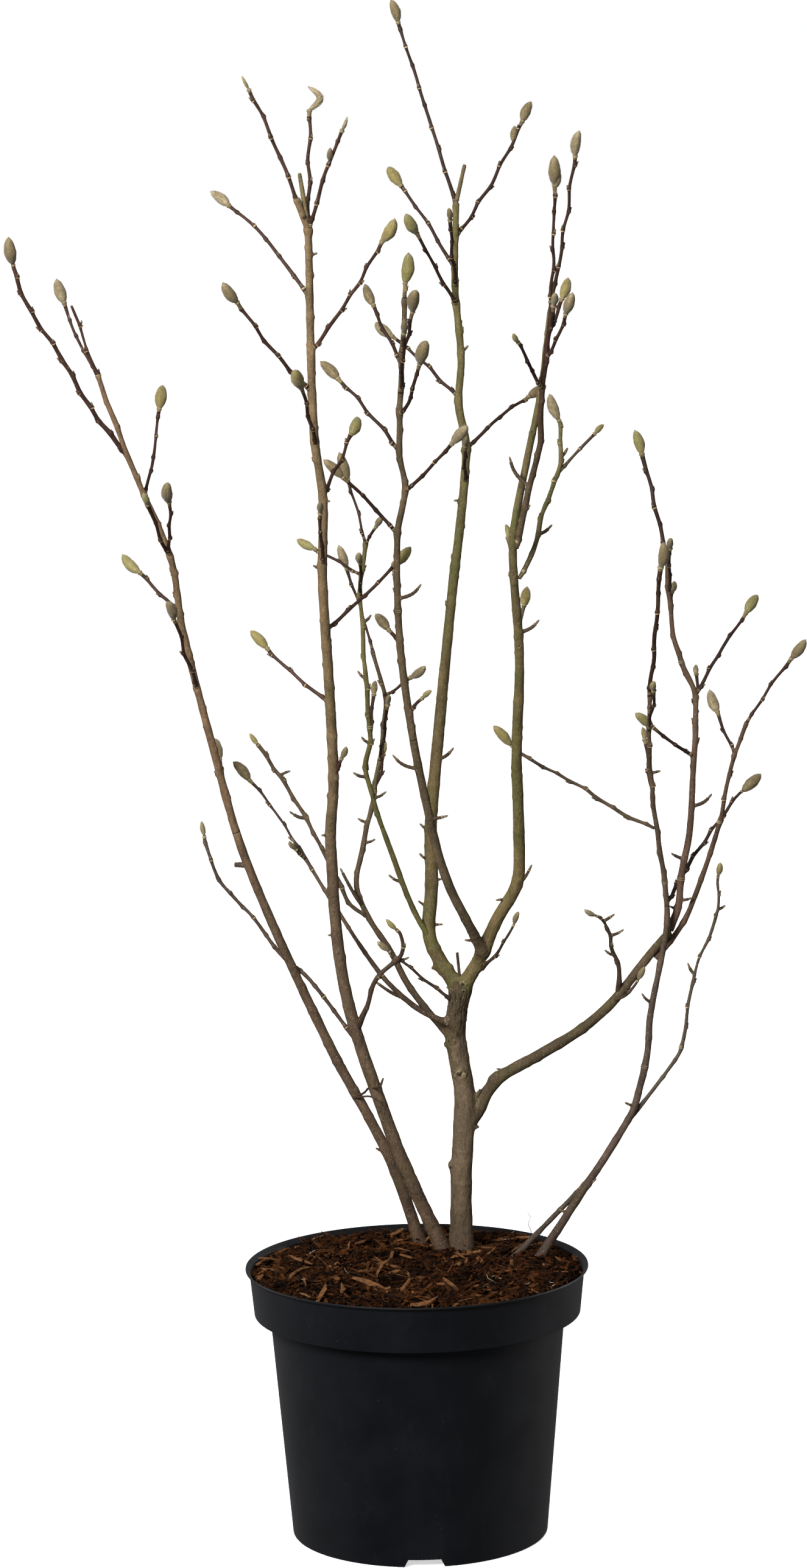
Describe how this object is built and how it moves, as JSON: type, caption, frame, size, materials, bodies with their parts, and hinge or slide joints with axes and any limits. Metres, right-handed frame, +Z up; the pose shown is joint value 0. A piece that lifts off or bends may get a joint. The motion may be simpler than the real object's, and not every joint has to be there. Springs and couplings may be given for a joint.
{
  "type": "potted star magnolia",
  "caption": "Bare late-winter flowering shrub with several thin stems, forked twigs and furry flower buds, standing in a round black nursery pot filled with bark mulch.",
  "frame": {"origin": "middle of the flat underside of the pot", "axes": "+Z up along the pot's axis, +X to the right and -Y to the front in the picture"},
  "size_m": [0.7622, 0.5659, 1.5123],
  "materials": {
    "pot_plastic": "black, slightly dusty",
    "bark_mulch": "moist shredded bark",
    "bark": "grey-brown to olive bark with pale lenticels",
    "twigs_and_buds": "brown twigs with silky grey-green buds"
  },
  "bodies": {
    "root": {"bark_mulch": "bark_mulch", "centre_bough": "bark", "centre_crown": "twigs_and_buds", "centre_left_bough": "bark", "centre_left_crown": "twigs_and_buds", "far_left_bough": "bark", "far_left_crown": "twigs_and_buds", "far_right_bough": "bark", "far_right_crown": "twigs_and_buds", "inner_left_bough": "bark", "inner_left_crown": "twigs_and_buds", "left_back_bough": "bark", "left_back_crown": "twigs_and_buds", "left_back_twig": "twigs_and_buds", "left_bough": "bark", "left_crown": "twigs_and_buds", "left_front_twig": "twigs_and_buds", "left_low_bough": "bark", "left_low_crown": "twigs_and_buds", "low_right_bough": "bark", "low_right_spur": "twigs_and_buds", "low_right_twig": "twigs_and_buds", "outer_right_bough": "bark", "outer_right_crown": "twigs_and_buds", "pot": "pot_plastic", "right_bough": "bark", "right_crown": "twigs_and_buds", "right_low_twig": "twigs_and_buds", "right_stem_bough": "bark", "right_stem_crown": "twigs_and_buds", "right_stem_foot": "bark", "thin_right_bough": "bark", "thin_right_crown": "twigs_and_buds", "trunk": "bark", "trunk_twig": "twigs_and_buds"}
  },
  "joints": []
}
